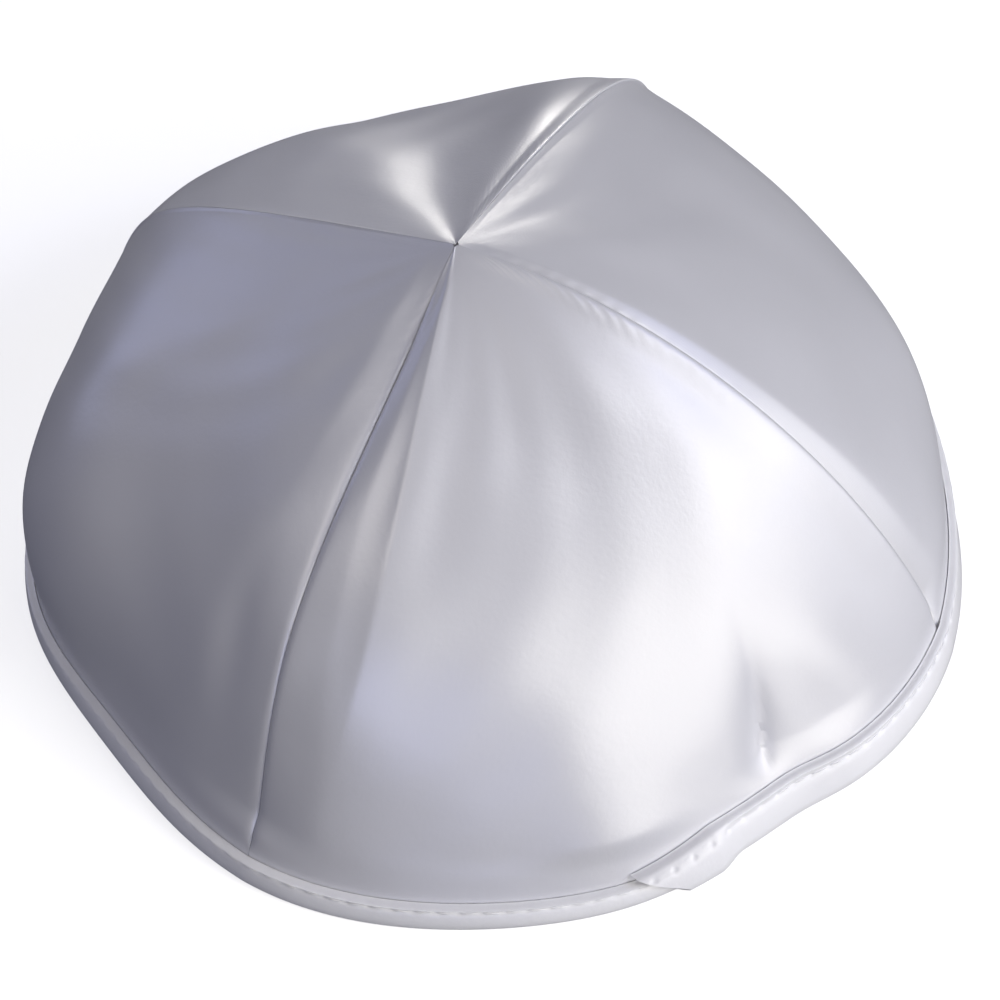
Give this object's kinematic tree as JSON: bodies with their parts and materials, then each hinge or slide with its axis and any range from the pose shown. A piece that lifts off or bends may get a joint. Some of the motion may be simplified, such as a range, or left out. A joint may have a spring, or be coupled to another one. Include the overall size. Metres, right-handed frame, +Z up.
{
  "type": "kippah skullcap",
  "caption": "Soft skullcap sewn from shaped satin panels that meet at a point, with a folded tape bound round its rim; hollow and open below.",
  "frame": {"origin": "middle of the rim's rectangle on the surface that the cap rests on", "axes": "+Z up through the crown, -Y towards the front panel, +X towards the right panel as the picture shows it"},
  "size_m": [0.162, 0.1692, 0.0754],
  "materials": {
    "satin": "satin",
    "binding": "satin"
  },
  "bodies": {
    "root": {"panel_front": "satin", "panel_right": "satin", "panel_back": "satin", "panel_left": "satin", "rim_binding": "binding"}
  },
  "joints": []
}
